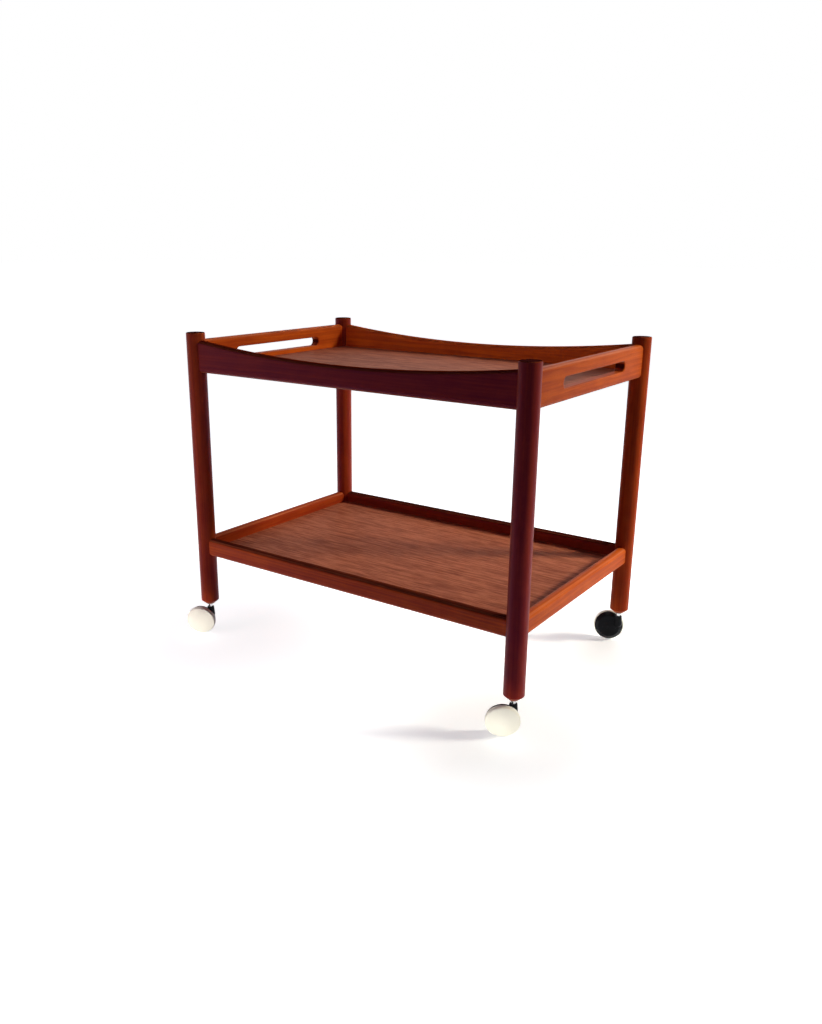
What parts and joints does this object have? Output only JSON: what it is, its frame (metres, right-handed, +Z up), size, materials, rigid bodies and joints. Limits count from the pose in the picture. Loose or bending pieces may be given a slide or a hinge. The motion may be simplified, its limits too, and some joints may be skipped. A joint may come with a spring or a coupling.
{
  "type": "serving trolley",
  "caption": "Two-tier wooden serving trolley: round legs, hollow-topped tray rails, end rails with hand slots, inset panels and hooded swivel casters.",
  "frame": {"origin": "on the floor, in the middle of the rectangle of the four leg axes", "axes": "+X along the trolley towards its right end, -Y to the front that the picture shows, +Z up"},
  "size_m": [0.7349, 0.4887, 0.584],
  "materials": {
    "teak": "oiled solid reddish-brown hardwood",
    "veneer": "satin veneer with straight fine grain",
    "chrome": "bright plated",
    "black_hood": "glossy black moulding",
    "cream_wheel": "smooth cream-white moulding",
    "steel": "plain bright steel"
  },
  "bodies": {
    "frame": {"leg_front_left": "teak", "leg_front_right": "teak", "leg_back_left": "teak", "leg_back_right": "teak", "tray_rail_front": "teak", "tray_rail_back": "teak", "tray_rail_left": "teak", "tray_rail_right": "teak", "shelf_rail_front": "teak", "shelf_rail_back": "teak", "shelf_rail_left": "teak", "shelf_rail_right": "teak", "tray_panel": "veneer", "shelf_panel": "veneer", "caster_socket_front_left": "steel", "caster_socket_front_right": "steel", "caster_socket_back_left": "steel", "caster_socket_back_right": "steel"},
    "swivel_front_left": {"caster_stem_front_left": "chrome", "caster_ring_front_left": "steel", "caster_hood_front_left": "black_hood", "caster_axle_front_left": "steel"},
    "wheel_front_left": {"caster_wheel_front_left": "cream_wheel"},
    "swivel_front_right": {"caster_stem_front_right": "chrome", "caster_ring_front_right": "steel", "caster_hood_front_right": "black_hood", "caster_axle_front_right": "steel"},
    "wheel_front_right": {"caster_wheel_front_right": "cream_wheel"},
    "swivel_back_left": {"caster_stem_back_left": "chrome", "caster_ring_back_left": "steel", "caster_hood_back_left": "black_hood", "caster_axle_back_left": "steel"},
    "wheel_back_left": {"caster_wheel_back_left": "cream_wheel"},
    "swivel_back_right": {"caster_stem_back_right": "chrome", "caster_ring_back_right": "steel", "caster_hood_back_right": "black_hood", "caster_axle_back_right": "steel"},
    "wheel_back_right": {"caster_wheel_back_right": "cream_wheel"}
  },
  "joints": [
    {"name": "swivel_front_left", "type": "hinge", "parent": "frame", "child": "swivel_front_left", "pos_m": [-0.335, -0.215, 0.06104], "axis": [0, 0, 1], "continuous": true},
    {"name": "spin_front_left", "type": "hinge", "parent": "swivel_front_left", "child": "wheel_front_left", "pos_m": [-0.34393, -0.23334, 0.02812], "axis": [0.4616, -0.8682, -0.1822], "continuous": true},
    {"name": "swivel_front_right", "type": "hinge", "parent": "frame", "child": "swivel_front_right", "pos_m": [0.335, -0.215, 0.06104], "axis": [0, 0, 1], "continuous": true},
    {"name": "spin_front_right", "type": "hinge", "parent": "swivel_front_right", "child": "wheel_front_right", "pos_m": [0.32737, -0.23392, 0.02812], "axis": [0.521, -0.8338, -0.1822], "continuous": true},
    {"name": "swivel_back_left", "type": "hinge", "parent": "frame", "child": "swivel_back_left", "pos_m": [-0.335, 0.215, 0.06104], "axis": [0, 0, 1], "continuous": true},
    {"name": "spin_back_left", "type": "hinge", "parent": "swivel_back_left", "child": "wheel_back_left", "pos_m": [-0.35363, 0.22331, 0.02812], "axis": [-0.2044, 0.9618, -0.1822], "continuous": true},
    {"name": "swivel_back_right", "type": "hinge", "parent": "frame", "child": "swivel_back_right", "pos_m": [0.335, 0.215, 0.06104], "axis": [0, 0, 1], "continuous": true},
    {"name": "spin_back_right", "type": "hinge", "parent": "swivel_back_right", "child": "wheel_back_right", "pos_m": [0.31521, 0.21995, 0.02812], "axis": [-0.3683, 0.9117, -0.1822], "continuous": true}
  ]
}
